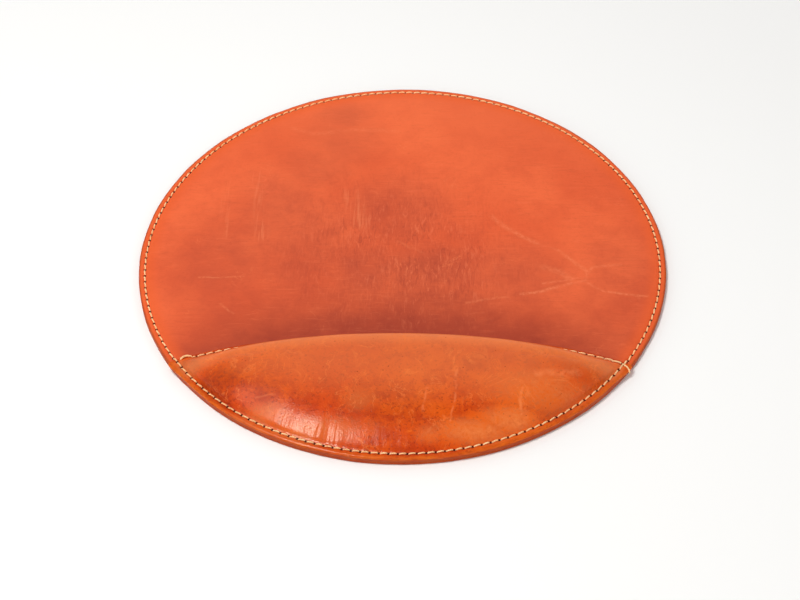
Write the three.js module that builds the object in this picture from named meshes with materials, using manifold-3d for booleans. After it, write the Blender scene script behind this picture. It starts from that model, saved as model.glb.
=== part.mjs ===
import * as THREE from 'three';
import { mergeVertices } from 'three/addons/utils/BufferGeometryUtils.js';
import Module from 'manifold-3d';

// A round leather mouse pad with a padded wrist rest sewn on at the front.
// Millimetres, +Z up. The pad lies on z = 0, centred on the origin, with the wrist rest at -Y.

// Round pad: two discs of leather, cemented together and sewn around the rim
const padDiameter = 250;
const baseThickness = 1.5;
const topThickness = 1.5;
const cutEdgeBevel = 0.35;

// Wrist rest: a moulded leather cover over a foam lens
const restDepth = 66.8;
const restCornerAngle = THREE.MathUtils.degToRad(35.6);
const restArcOverreach = 19;
const coverThickness = 1.2;
const coverRearMargin = 2;
const coverCornerWidth = 1.9;
const footInset = 0.7;
const leastFootShare = 0.1;
const crownHeight = 11;
const crownBackRun = 8.5;
const crownBackShare = 0.4;
const crownTaperWidth = 30;
const crownTaperPower = 1.3;
const crownFrontPower = 2.2;
const crownFrontRoot = 0.8;
const foamClearance = 0.3;
const foamEndInset = 11;

// Lockstitch seams
const rimSeamInset = 3;
const stitchPitch = 4;
const threadDiameter = 0.7;
const threadWaistShare = 0.5;
const threadSink = 0.05;
const threadSideGap = 0.2;
const threadFloorGap = 0.1;
const threadEndGap = 0.3;

// Fineness of the facets
const discSegments = 96;
const grooveSpan = 8;
const restStations = 32;
const backRows = 4;
const frontRows = 6;
const stitchShares = [0, 0.3, 0.7];

// Heights and radii that follow from these sizes
const padRadius = padDiameter / 2;
const topFloor = baseThickness;
const topFace = topFloor + topThickness;
const coverFace = topFace + coverThickness;
const rimSeamRadius = padRadius - rimSeamInset;
const threadRadius = threadDiameter / 2;
const grooveHalfWidth = threadRadius + threadSideGap;
const openGrooveDepth = threadRadius + threadFloorGap;
const sunkGrooveDepth = threadSink + threadDiameter + threadFloorGap;

// Stitched leather is cut from the surface down, and the cutter stands this far above it
const cutOverrun = coverThickness;

// The rear seam of the rest is the crown of an ellipse that meets the rim seam at both corners
const cornerX = rimSeamRadius * Math.cos(restCornerAngle);
const cornerY = -rimSeamRadius * Math.sin(restCornerAngle);
const restMiddleY = restDepth - rimSeamRadius;
const restArcHalfWidth = cornerX + restArcOverreach;
const restArcRise = (restMiddleY - cornerY) / (1 - Math.sqrt(1 - (cornerX / restArcHalfWidth) ** 2));
const restSeamY = (x) => restMiddleY - restArcRise * (1 - Math.sqrt(1 - (x / restArcHalfWidth) ** 2));
const coverRearY = (x) => restSeamY(x) + coverRearMargin;
const frontY = (x, radius) => -Math.sqrt(radius ** 2 - x ** 2);

// Places along x where the outlines meet
const widest = Math.min(padRadius, restArcHalfWidth);
const coverEndX = crossing((x) => coverCornerWidth - coverRearY(x) + frontY(x, padRadius), widest);
const coverStepX = crossing((x) => Math.hypot(x, coverRearY(x)) - rimSeamRadius, widest);
const restSeamReach = rimSeamRadius - threadDiameter - threadEndGap;
const restSeamEndX = crossing((x) => Math.hypot(x, restSeamY(x)) - restSeamReach, widest);
const foamEndX = cornerX - foamEndInset;

const wasm = await Module();
wasm.setup();

// Halves the range from zero to high until it closes on the place where value(x) turns positive.
function crossing(value, high) {
  let below = 0;
  let above = high;
  for (let halving = 0; halving < 50; halving += 1) {
    const middle = (below + above) / 2;
    if (value(middle) > 0) above = middle;
    else below = middle;
  }
  return below;
}

// Joins rings of equally many points into one skin, endless or with a fan over each end.
// Seen from ahead, looking back along the way of the loft, the points of a ring run anticlockwise.
function loft(rings, endless) {
  const count = rings[0].length;
  const points = rings.flat();
  const triangles = [];
  const spans = endless ? rings.length : rings.length - 1;
  for (let i = 0; i < spans; i += 1) {
    const here = i * count;
    const next = ((i + 1) % rings.length) * count;
    for (let j = 0; j < count; j += 1) {
      const k = (j + 1) % count;
      triangles.push(here + j, here + k, next + k);
      triangles.push(here + j, next + k, next + j);
    }
  }
  if (!endless) {
    const last = spans * count;
    const start = points.push(middleOf(rings[0])) - 1;
    const end = points.push(middleOf(rings.at(-1))) - 1;
    for (let j = 0; j < count; j += 1) {
      const k = (j + 1) % count;
      triangles.push(start, k, j);
      triangles.push(end, last + j, last + k);
    }
  }
  const geometry = new THREE.BufferGeometry().setFromPoints(points);
  geometry.setIndex(triangles);
  return geometry;
}

function middleOf(ring) {
  const sum = ring.reduce((total, point) => total.add(point), new THREE.Vector3());
  return sum.divideScalar(ring.length);
}

function solidOf(geometry) {
  const bare = geometry.clone();
  bare.deleteAttribute('normal');
  bare.deleteAttribute('uv');
  const merged = mergeVertices(bare);
  const vertProperties = new Float32Array(merged.attributes.position.array);
  const triVerts = new Uint32Array(merged.index.array);
  return new wasm.Manifold(new wasm.Mesh({ numProp: 3, vertProperties, triVerts }));
}

function carve(geometry, cutters) {
  let body = solidOf(geometry);
  for (const cutter of cutters) body = body.subtract(solidOf(cutter));
  const mesh = body.getMesh();
  const carved = new THREE.BufferGeometry();
  carved.setAttribute('position', new THREE.BufferAttribute(mesh.vertProperties, 3));
  carved.setIndex(new THREE.BufferAttribute(mesh.triVerts, 1));
  return carved;
}

function addPiece(group, name, geometry, colour, roughness) {
  geometry.computeVertexNormals();
  const material = new THREE.MeshStandardMaterial({ color: colour, roughness, metalness: 0 });
  const piece = new THREE.Mesh(geometry, material);
  piece.name = name;
  group.add(piece);
}

// Seams: each seam is a function that turns a share of its length into a place with its left-hand side

// The rim seam runs anticlockwise from the middle of the front, on a circle at a height of its own.
function rimSeam(heightAt) {
  return (share) => {
    const angle = 2 * Math.PI * share - Math.PI / 2;
    const outward = new THREE.Vector3(Math.cos(angle), Math.sin(angle), 0);
    const place = outward.clone().multiplyScalar(rimSeamRadius).setZ(heightAt(share));
    return { place, left: outward.negate() };
  };
}

// The rear seam of the rest runs from its left corner to its right one, at one height.
function restSeam(height) {
  const endAngle = Math.acos(restSeamEndX / restArcHalfWidth);
  const centreY = restMiddleY - restArcRise;
  const sweep = [Math.PI - endAngle, endAngle, true];
  const arc = new THREE.EllipseCurve(0, centreY, restArcHalfWidth, restArcRise, ...sweep);
  const seam = (share) => {
    const point = arc.getPointAt(share);
    const ahead = arc.getTangentAt(share);
    return { place: new THREE.Vector3(point.x, point.y, height), left: new THREE.Vector3(-ahead.y, ahead.x, 0) };
  };
  return { seam, length: arc.getLength() };
}

const rimLength = 2 * Math.PI * rimSeamRadius;
const coverStepShare = Math.atan2(coverStepX, -coverRearY(coverStepX)) / (2 * Math.PI);

// The needle thread of the rim climbs on to the cover over one stitch, just short of the cover's edge.
function rimFaceHeight(share) {
  const fromFront = Math.min(share, 1 - share) * rimLength;
  const climbStart = coverStepShare * rimLength + threadDiameter + stitchPitch;
  const climbed = THREE.MathUtils.clamp((climbStart - fromFront) / stitchPitch, 0, 1);
  return topFace + climbed * coverThickness;
}

// A lockstitch thread is full over each stitch and drawn thin, towards the leather, at each needle hole.
// Side is 1 for the thread on the upper face and -1 for the one on the underside.
function stitchThread(seam, length, side, endless) {
  const count = Math.round(length / stitchPitch);
  const rings = [];
  for (let stitch = 0; stitch < count; stitch += 1) {
    for (const share of stitchShares) {
      rings.push(threadRing(seam((stitch + share) / count), side, share === 0));
    }
  }
  if (!endless) rings.push(threadRing(seam(1), side, true));
  return loft(rings, endless);
}

function threadRing({ place, left }, side, atHole) {
  const radius = atHole ? threadRadius * threadWaistShare : threadRadius;
  const middle = place.z + side * (radius - threadRadius);
  const corner = (across, up) => place.clone().addScaledVector(left, across).setZ(middle + up);
  return [corner(radius, 0), corner(0, radius), corner(-radius, 0), corner(0, -radius)];
}

// A groove is a rectangular channel along part of a seam, from one height to another.
function grooveCutter(seam, from, to, length, floor, roof) {
  const steps = Math.ceil(((to - from) * length) / grooveSpan);
  const rings = [];
  for (let step = 0; step <= steps; step += 1) {
    const { place, left } = seam(from + ((to - from) * step) / steps);
    const corner = (side, height) => place.clone().addScaledVector(left, side * grooveHalfWidth).setZ(height);
    rings.push([corner(1, floor), corner(1, roof), corner(-1, roof), corner(-1, floor)]);
  }
  return loft(rings, false);
}

// Round discs, turned about the pad's axis from an outline of radii and heights
function disc(outline) {
  const points = outline.map(([radius, height]) => new THREE.Vector2(radius, height));
  const geometry = new THREE.LatheGeometry(points, discSegments);
  geometry.rotateX(Math.PI / 2);
  return geometry;
}

function cutEdge(low, high) {
  return [
    [padRadius - cutEdgeBevel, low],
    [padRadius, low + cutEdgeBevel],
    [padRadius, high - cutEdgeBevel],
    [padRadius - cutEdgeBevel, high],
  ];
}

// Base leather: lies on the desk, with a channel for the lower thread of the rim seam
function baseLeather() {
  const grooveInner = rimSeamRadius - grooveHalfWidth;
  const grooveOuter = rimSeamRadius + grooveHalfWidth;
  return disc([
    [0, 0],
    [grooveInner, 0],
    [grooveInner, sunkGrooveDepth],
    [grooveOuter, sunkGrooveDepth],
    [grooveOuter, 0],
    ...cutEdge(0, topFloor),
    [0, topFloor],
  ]);
}

// Top leather: the mousing surface, with channels for the rim seam above and for the rear seam below
function topLeather() {
  const sheet = disc([[0, topFloor], ...cutEdge(topFloor, topFace), [0, topFace]]);
  const rim = rimSeam(() => topFace);
  const { seam, length } = restSeam(topFloor);
  const openArc = [coverStepShare, 1 - coverStepShare];
  return carve(sheet, [
    grooveCutter(rim, ...openArc, rimLength, topFace - openGrooveDepth, topFace + cutOverrun),
    grooveCutter(seam, 0, 1, length, topFloor - cutOverrun, topFloor + sunkGrooveDepth),
  ]);
}

// Wrist rest: cross-sections at fixed x, each an outline of (y, z) from the rear edge over the crown to the rim

function crownFullness(width) {
  return 1 - Math.exp(-((width / crownTaperWidth) ** crownTaperPower));
}

// Where the bulge leaves the flat flange behind and in front, and how high it stands between
function restFeet(x) {
  const rearEdge = coverRearY(x);
  const rimEdge = frontY(x, padRadius);
  const middle = (rearEdge + rimEdge) / 2;
  const least = leastFootShare * (rearEdge - rimEdge);
  const rearFoot = restSeamY(x) - footInset;
  const frontFoot = frontY(x, rimSeamRadius - footInset);
  const width = Math.max(rearFoot - frontFoot, 0);
  const middleWidth = restDepth - 2 * footInset;
  return {
    rearEdge,
    rimEdge,
    rearFoot: Math.max(rearFoot, middle + least),
    frontFoot: Math.min(frontFoot, middle - least),
    height: (crownHeight * crownFullness(width)) / crownFullness(middleWidth),
  };
}

// The bulge rises in a quarter wave behind and falls in a long rounded slope in front
function bulgeOutline({ rearFoot, frontFoot, height }) {
  const run = rearFoot - frontFoot;
  const backRun = Math.min(crownBackRun, crownBackShare * run);
  const outline = [new THREE.Vector2(rearFoot, coverFace)];
  for (let row = 1; row <= backRows; row += 1) {
    const share = row / backRows;
    const rise = height * Math.sin((Math.PI / 2) * share);
    outline.push(new THREE.Vector2(rearFoot - backRun * share, coverFace + rise));
  }
  for (let row = 1; row <= frontRows; row += 1) {
    const share = Math.sin(((Math.PI / 2) * row) / frontRows);
    const rise = height * Math.max(1 - share ** crownFrontPower, 0) ** crownFrontRoot;
    outline.push(new THREE.Vector2(rearFoot - backRun - (run - backRun) * share, coverFace + rise));
  }
  return outline;
}

// The same outline moved inwards, square to itself; the flange on both sides is flat
function insetOutline(outline, distance) {
  const flat = new THREE.Vector2(1, 0);
  const padded = [outline[0].clone().add(flat), ...outline, outline.at(-1).clone().sub(flat)];
  return outline.map((point, i) => {
    const before = inward(padded[i], point);
    const after = inward(point, padded[i + 2]);
    const mitre = distance / (1 + before.dot(after));
    return point.clone().addScaledVector(before.add(after), mitre);
  });
}

function inward(from, to) {
  const ahead = new THREE.Vector2().subVectors(to, from).normalize();
  return new THREE.Vector2(-ahead.y, ahead.x);
}

function ringAt(x, outline) {
  return outline.map((point) => new THREE.Vector3(x, point.x, point.y));
}

function stationsBetween(low, high) {
  const stations = [];
  for (let station = 0; station <= restStations; station += 1) {
    const share = (2 * station) / restStations - 1;
    stations.push(coverEndX * Math.sin((Math.PI / 2) * share));
  }
  return stations.filter((x) => x >= low && x <= high);
}

// Rest cover: one moulded sheet of leather with a flat flange all round, channelled for both seams
function restCover() {
  const rings = stationsBetween(-coverEndX, coverEndX).map((x) => {
    const feet = restFeet(x);
    const bulge = bulgeOutline(feet);
    const under = insetOutline(bulge, coverThickness).reverse();
    return ringAt(x, [
      new THREE.Vector2(feet.rearEdge, coverFace - cutEdgeBevel),
      new THREE.Vector2(feet.rearEdge - cutEdgeBevel, coverFace),
      ...bulge,
      new THREE.Vector2(feet.rimEdge + cutEdgeBevel, coverFace),
      new THREE.Vector2(feet.rimEdge, coverFace - cutEdgeBevel),
      new THREE.Vector2(feet.rimEdge, topFace),
      ...under,
      new THREE.Vector2(feet.rearEdge, topFace),
    ]);
  });
  const floor = coverFace - openGrooveDepth;
  const roof = coverFace + cutOverrun;
  const rim = rimSeam(() => coverFace);
  const { seam, length } = restSeam(coverFace);
  const rimReach = coverStepShare + threadDiameter / rimLength;
  return carve(loft(rings, false), [
    grooveCutter(rim, -rimReach, rimReach, rimLength, floor, roof),
    grooveCutter(seam, 0, 1, length, floor, roof),
  ]);
}

// Rest foam: a lens that fills the cover, with its edges bevelled down to the top leather
function restFoam() {
  const rings = stationsBetween(-foamEndX, foamEndX).map((x) => {
    const skin = insetOutline(bulgeOutline(restFeet(x)), coverThickness + foamClearance);
    const rearCorner = dropTo(topFace, skin[0], skin[1]);
    const frontCorner = dropTo(topFace, skin.at(-1), skin.at(-2));
    return ringAt(x, [rearCorner, ...skin.slice(1, -1), frontCorner]);
  });
  return loft(rings, false);
}

// The place at the given height on the line from a point below it to a point above it
function dropTo(height, below, above) {
  return below.clone().lerp(above, (height - below.y) / (above.y - below.y));
}

// The assembled pad, from the desk up
const pad = new THREE.Group();
const bobbinHeight = threadSink + threadRadius;
const upperRestSeam = restSeam(coverFace);
const lowerRestSeam = restSeam(topFloor + bobbinHeight);
const upperRim = rimSeam(rimFaceHeight);
const lowerRim = rimSeam(() => bobbinHeight);

addPiece(pad, 'base_leather', baseLeather(), 0xa8623a, 0.95);
addPiece(pad, 'top_leather', topLeather(), 0xc9532f, 0.5);
addPiece(pad, 'rest_foam', restFoam(), 0xe9dfc4, 0.95);
addPiece(pad, 'rest_cover', restCover(), 0xcb5a24, 0.4);
addPiece(pad, 'rest_needle_thread', stitchThread(upperRestSeam.seam, upperRestSeam.length, 1, false), 0xf2cf9c, 0.7);
addPiece(pad, 'rest_bobbin_thread', stitchThread(lowerRestSeam.seam, lowerRestSeam.length, -1, false), 0xf2cf9c, 0.7);
addPiece(pad, 'rim_needle_thread', stitchThread(upperRim, rimLength, 1, true), 0xf2cf9c, 0.7);
addPiece(pad, 'rim_bobbin_thread', stitchThread(lowerRim, rimLength, -1, true), 0xf2cf9c, 0.7);

export default pad;
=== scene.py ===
import math

import bpy
import numpy as np
from mathutils import Matrix


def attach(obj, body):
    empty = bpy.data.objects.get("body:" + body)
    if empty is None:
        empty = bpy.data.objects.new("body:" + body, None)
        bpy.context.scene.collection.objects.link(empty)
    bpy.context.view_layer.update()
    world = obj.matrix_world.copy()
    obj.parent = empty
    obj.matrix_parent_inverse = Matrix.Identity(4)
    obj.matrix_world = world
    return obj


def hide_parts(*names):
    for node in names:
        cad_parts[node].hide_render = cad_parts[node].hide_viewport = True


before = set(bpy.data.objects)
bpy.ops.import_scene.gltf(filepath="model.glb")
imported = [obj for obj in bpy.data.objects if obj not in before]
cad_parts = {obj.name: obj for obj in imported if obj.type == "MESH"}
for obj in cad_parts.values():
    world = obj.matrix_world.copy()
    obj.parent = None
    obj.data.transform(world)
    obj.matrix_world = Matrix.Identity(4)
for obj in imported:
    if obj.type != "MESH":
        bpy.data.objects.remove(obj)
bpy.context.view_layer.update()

# Camera: it stands in front of the pad, half a metre above the desk, and looks down on it at 46 degrees.
camera_place = (0.01178, -0.52408, 0.51580)
camera_heading = math.radians(-1.43)
camera_dip = math.radians(46.12)
camera_tilt = math.radians(-0.75)
camera_lens = 69.19

ahead = np.array([
    math.sin(camera_heading) * math.cos(camera_dip),
    math.cos(camera_heading) * math.cos(camera_dip),
    -math.sin(camera_dip),
])
level = np.array([math.cos(camera_heading), -math.sin(camera_heading), 0.0])
above = np.cross(level, ahead)
pose = np.eye(4)
pose[:3, 0] = level * math.cos(camera_tilt) + above * math.sin(camera_tilt)
pose[:3, 1] = above * math.cos(camera_tilt) - level * math.sin(camera_tilt)
pose[:3, 2] = -ahead
pose[:3, 3] = camera_place
camera = bpy.data.objects.new("camera", bpy.data.cameras.new("camera"))
camera.data.lens = camera_lens
camera.data.clip_start = 0.01
camera.matrix_world = Matrix(pose.tolist())
bpy.context.collection.objects.link(camera)
bpy.context.scene.camera = camera
bpy.context.scene.view_settings.view_transform = "Standard"


# Floor: a plain sheet of white card under the pad, far wider than the picture, which takes the pad's shadow.
# Away from the pad it is seen plain white.
class Shade:
    """A shader socket that can stand in a Python sum: each operator adds one Math node to its material."""

    def __init__(self, finish, socket):
        self.finish = finish
        self.socket = socket

    def __add__(self, other):
        return self.finish.maths("ADD", self, other)

    def __sub__(self, other):
        return self.finish.maths("SUBTRACT", self, other)

    def __rsub__(self, other):
        return self.finish.maths("SUBTRACT", other, self)

    def __mul__(self, other):
        return self.finish.maths("MULTIPLY", self, other)

    def __truediv__(self, other):
        return self.finish.maths("DIVIDE", self, other)

    def __pow__(self, other):
        return self.finish.maths("POWER", self, other)

    def __abs__(self):
        return self.finish.maths("ABSOLUTE", self)

    __radd__ = __add__
    __rmul__ = __mul__

    def step(self, low, high):
        """0 up to low, 1 from high on, and an S-shaped rise between; high may be the lower one."""
        ends = {"Value": self, "From Min": low, "From Max": high}
        return self.finish.node("ShaderNodeMapRange", {"interpolation_type": "SMOOTHSTEP"}, ends)


class Finish:
    """A material, or the room's light, while it is put together. node() adds any node, with its settings
    and its sockets."""

    def __init__(self, name, kind=bpy.data.materials):
        self.made = kind.new(name)
        self.made.use_nodes = True
        self.tree = self.made.node_tree
        self.tree.nodes.clear()

    def node(self, kind, settings=None, inputs=None, output=0):
        added = self.tree.nodes.new(kind)
        for key, value in (settings or {}).items():
            setattr(added, key, value)
        for key, value in (inputs or {}).items():
            if isinstance(value, Shade):
                self.tree.links.new(value.socket, added.inputs[key])
            else:
                added.inputs[key].default_value = value
        return Shade(self, added.outputs[output]) if added.outputs else added

    def maths(self, operation, *values):
        return self.node("ShaderNodeMath", {"operation": operation}, dict(enumerate(values)))

    def vector(self, operation, *values, output=0):
        return self.node("ShaderNodeVectorMath", {"operation": operation}, dict(enumerate(values)), output)

    def mix(self, share, below, over):
        """A colour between two colours: share 0 gives the one below, 1 the one over it."""
        return self.node("ShaderNodeMix", {"data_type": "RGBA"}, {0: share, 6: below, 7: over}, 2)

    def bump(self, height, depth):
        return self.node("ShaderNodeBump", None, {"Height": height, "Distance": depth})

    def principled(self, **inputs):
        named = {key.replace("_", " "): value for key, value in inputs.items()}
        shader = self.node("ShaderNodeBsdfPrincipled", None, named)
        self.node("ShaderNodeOutputMaterial", None, {"Surface": shader})

    def seen(self):
        """1 for what the camera sees, straight, mirrored or through glass; 0 for what lights the pieces."""
        straight = self.node("ShaderNodeLightPath", output="Is Camera Ray")
        mirrored = self.node("ShaderNodeLightPath", output="Is Glossy Ray")
        through = self.node("ShaderNodeLightPath", output="Is Transmission Ray")
        return self.maths("MAXIMUM", self.maths("MAXIMUM", straight, mirrored), through)

    def paint(self, piece):
        piece.data.materials.clear()
        piece.data.materials.append(self.made)


def colour(red, green, blue):
    """A colour given as it looks on screen, in shares of 255, turned into the light that makes it."""
    share = np.array([red, green, blue]) / 255
    light = np.where(share > 0.04045, ((share + 0.055) / 1.055) ** 2.4, share / 12.92)
    return (*light.tolist(), 1.0)


def mesh_piece(name, points, faces, caps=(), yarn=None):
    """A piece with its place in its mesh. Its faces are turned over if they enclose less than nothing:
    the volume is the sum over all triangles of corner . (corner x corner) / 6."""
    points = np.asarray(points, float)
    corners = [points[faces[:, k]] for k in range(4)]
    volume = 0.0
    for k in (1, 2):
        volume += np.einsum("ij,ij->", corners[0], np.cross(corners[k], corners[k + 1]))
    turn = -1 if volume < 0 else 1
    outlines = [list(dict.fromkeys(face)) for face in faces[:, ::turn].tolist()]
    outlines += [list(cap)[::turn] for cap in caps]
    mesh = bpy.data.meshes.new(name)
    mesh.from_pydata(points.tolist(), [], outlines)
    mesh.polygons.foreach_set("use_smooth", np.ones(len(mesh.polygons), bool))
    if yarn is not None:
        places = np.zeros((len(mesh.loops), 2))
        places[:faces.size] = yarn[:, ::turn].reshape(-1, 2)
        mesh.uv_layers.new(name="yarn").uv.foreach_set("vector", places.ravel())
    mesh.update()
    piece = bpy.data.objects.new(name, mesh)
    bpy.context.collection.objects.link(piece)
    return piece


floor_half = 3.0
floor_drop = 0.0001
shaded_to = 0.2
white_from = 0.8
floor_corners = np.array([(-1, -1, 0), (1, -1, 0), (1, 1, 0), (-1, 1, 0)]) * floor_half
floor = mesh_piece("floor", floor_corners - (0, 0, floor_drop), np.array([[0, 1, 2, 3]]))
card = Finish("white_card")
sheet = card.node("ShaderNodeBsdfPrincipled", None, {"Base Color": colour(246, 245, 243), "Roughness": 0.9})
away = card.vector("LENGTH", card.node("ShaderNodeTexCoord", output="Object"), output="Value")
far = away.step(shaded_to, white_from) * card.seen()
sheet = card.node("ShaderNodeMixShader", None, {0: far, 1: sheet, 2: card.node("ShaderNodeEmission")})
card.node("ShaderNodeOutputMaterial", None, {"Surface": sheet})
card.paint(floor)

# Light: a soft box overhead to the left, in a pale room that is light along its walls and dark at its
# ceiling. A narrow strip box lower on the left doesn't light anything: it only gleams on polished leather.
ceiling_light = 0.24
wall_gain = 1.42
room = Finish("pale_room", bpy.data.worlds)
sight = room.node("ShaderNodeTexCoord", output="Generated")
rise = room.node("ShaderNodeSeparateXYZ", None, {0: sight}, 2)
seen = room.seen()
light = (1 - rise) * wall_gain + ceiling_light
light = light * (1 - seen) + seen
backdrop = room.node("ShaderNodeBackground", None, {"Strength": light})
room.node("ShaderNodeOutputWorld", None, {"Surface": backdrop})
bpy.context.scene.world = room.made


def soft_box(name, place, aim, along, length, width, power):
    """A lamp at a place, turned towards the place aim, with its length in about the direction along."""
    lamp = bpy.data.objects.new(name, bpy.data.lights.new(name, "AREA"))
    lamp.data.shape = "RECTANGLE"
    lamp.data.size = width
    lamp.data.size_y = length
    lamp.data.energy = power
    away = np.array(place, float) - aim
    side = np.cross(along, away)
    axes = [side, np.cross(away, side), away]
    turn = np.eye(4)
    turn[:3, :3] = np.stack([axis / np.linalg.norm(axis) for axis in axes], 1)
    turn[:3, 3] = place
    lamp.matrix_world = Matrix(turn.tolist())
    bpy.context.collection.objects.link(lamp)
    return lamp


key = soft_box(
    "key",
    place=(-0.3, -0.16, 1.0),
    aim=(-0.03, -0.1, 0.0),
    along=(0.0, 1.0, 0.0),
    length=0.25,
    width=0.25,
    power=6.3,
)
key.visible_glossy = False
gleam = soft_box(
    "gleam",
    place=(-0.454, -0.459, 0.895),
    aim=(-0.04, -0.11, 0.0),
    along=(0.44, 0.75, 0.49),
    length=0.82,
    width=0.05,
    power=29.0,
)
gleam.data.color = (1.0, 0.95, 0.82)
gleam.visible_diffuse = False

# Base leather: a round of vegetable-tanned leather, flesh side down, glued under the top one.
# Its cut edge is burnished smooth, and the lower thread of the rim seam is pulled into its underside.
mm = 0.001
pad_radius = 125 * mm
base_top = 1.5 * mm
rim_seam_radius = 122 * mm
rim_stitches = 192
stitch_pitch = 4 * mm
hole_radius = 0.5 * mm
hole_rim = 0.72 * mm
crisp_round = 0.09 * mm
columns_per_stitch = 8
columns = rim_stitches * columns_per_stitch
around = 2 * np.pi * np.arange(columns) / columns - np.pi / 2


def stitch_press(along, across, channel, pit):
    """How deep a seam draws the leather in; along counts stitches from a hole, across is the distance beside
    the seam. A trough exp(-(across / 0.9 mm)^2), a pit exp(-(distance / 0.52 mm)^4) at each needle hole, and
    a slight puff on both sides that swells between the holes."""
    beside = (along - np.round(along)) * stitch_pitch
    between = 0.5 - 0.5 * np.cos(2 * np.pi * along)
    trough = channel * np.exp(-((across / (0.9 * mm)) ** 2)) * (1 - 0.3 * between)
    deep = pit * np.exp(-((np.hypot(beside, across) / (0.52 * mm)) ** 4))
    puff = 0.09 * mm * np.exp(-(((np.abs(across) - 1.6 * mm) / (0.8 * mm)) ** 2)) * (0.4 + 0.6 * between)
    return trough + deep - puff


def waver(angle, seed, low, high):
    """A smooth uneven line round the pad: a sum of waves from low to high turns, each 1 / turns^0.5 high."""
    draw = np.random.default_rng(seed)
    turns = np.arange(low, high)
    start = draw.uniform(0, 2 * np.pi, len(turns))
    waves = np.cos(np.multiply.outer(angle, turns) + start) * turns ** -0.5
    return waves.sum(-1) / np.sqrt((turns ** -1.0).sum() / 2)


def turned(radii, heights, angles):
    """Places (r cos a, r sin a, z) for each row's radius and height and each column's angle."""
    full = np.broadcast_arrays(radii * np.cos(angles), radii * np.sin(angles), heights + 0 * angles)
    return np.stack(full, -1)


def grid_faces(rows, columns, rows_close=False, columns_close=False):
    """Quads (i, j), (i + 1, j), (i + 1, j + 1), (i, j + 1) of a grid, joined round where it closes."""
    i = np.arange(rows if rows_close else rows - 1)[:, None]
    j = np.arange(columns if columns_close else columns - 1)[None, :]
    below = (i + 1) % rows * columns
    beside = (j + 1) % columns
    corners = (i * columns + j, below + j, below + beside, i * columns + beside)
    return np.stack(np.broadcast_arrays(*corners), -1).reshape(-1, 4)


def pole_faces(ring, pole, inward):
    """Triangles from each pair of neighbours on a ring to one point, as quads with a doubled corner."""
    after = np.roll(ring, -1)
    middle = np.full_like(ring, pole)
    return np.stack([ring, middle, middle, after] if inward else [ring, after, middle, middle], 1)


def round_piece(name, grid):
    """A closed piece from rows that run from the middle of one face over the edge to that of the other."""
    rows, count = grid.shape[:2]
    points = np.concatenate([grid.reshape(-1, 3), [grid[0].mean(0)], [grid[-1].mean(0)]])
    first = np.arange(count)
    last = first + (rows - 1) * count
    faces = [
        grid_faces(rows, count, columns_close=True),
        pole_faces(first, rows * count, False),
        pole_faces(last, rows * count + 1, True),
    ]
    return mesh_piece(name, points, np.concatenate(faces))


def quarter_round(radius, steps, start, edge, height):
    """Rows (r, z) over a quarter circle that touches the edge and the height, from an angle on, clockwise."""
    turn = start - np.linspace(0, np.pi / 2, steps)
    centre = height - radius if start > 0 else height + radius
    return np.stack([edge - radius + radius * np.cos(turn), centre + radius * np.sin(turn)], 1)


def edge_share(radii):
    """0 up to 5 mm inside the pad's edge and 1 at the edge: how much of its waviness a row takes on."""
    return np.clip((radii - 120 * mm) / (5 * mm), 0, 1)


base_rows = np.concatenate([
    [(r * mm, base_top) for r in (30, 80, 118, 124)],
    quarter_round(crisp_round, 3, np.pi / 2, pad_radius, base_top),
    [(pad_radius, 1.1 * mm), (pad_radius, 0.8 * mm)],
    quarter_round(0.5 * mm, 6, 0, pad_radius, 0),
    [(r * mm, 0) for r in (*np.linspace(124.1, 119.6, 15), 118, 112, 90, 60, 30, 10)],
])
shared_sway = 0.1 * mm * waver(around, 11, 2, 30) - 0.1 * mm
rim_along = (around + np.pi / 2) / (2 * np.pi) * rim_stitches
radii, heights = base_rows.T[:, :, None]
press = stitch_press(rim_along, radii - rim_seam_radius, channel=0.5 * mm, pit=0.5 * mm)
heights = heights + np.where(heights < 0.01 * mm, np.maximum(press, 0), 0)
own_sway = shared_sway + 0.03 * mm * waver(around, 12, 8, 120)
base_piece = round_piece("base_round", turned(radii + edge_share(radii) * own_sway, heights, around))


def seam_holes(finish, x, y):
    """1 in the needle holes of the rim seam and 0 away from them, and the radius of the place."""
    angle = finish.maths("ARCTAN2", y, x)
    beside = finish.maths("FRACT", (angle / (2 * math.pi) + 0.25) * rim_stitches + 0.5) - 0.5
    radius = (x * x + y * y) ** 0.5
    away = ((beside * stitch_pitch) ** 2.0 + (radius - rim_seam_radius) ** 2.0) ** 0.5
    return away.step(hole_rim, hole_radius), radius


def places(finish):
    """The place on the pad, and its three parts."""
    place = finish.node("ShaderNodeTexCoord", output="Object")
    parts = [finish.node("ShaderNodeSeparateXYZ", None, {0: place}, k) for k in range(3)]
    return place, *parts


def noise(finish, place, size, detail=3.0, roughness=0.55, distortion=0.0):
    """Clouds from 0 to 1 whose largest swell is as wide as size."""
    inputs = {"Vector": place, "Scale": 1 / size, "Detail": detail}
    inputs |= {"Roughness": roughness, "Distortion": distortion}
    return finish.node("ShaderNodeTexNoise", None, inputs)


def cells(finish, place, size, feature="F1"):
    """The distance to the nearest of many scattered points that lie about size apart."""
    inputs = {"Vector": place, "Scale": 1 / size}
    return finish.node("ShaderNodeTexVoronoi", {"feature": feature}, inputs, "Distance")


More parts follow.
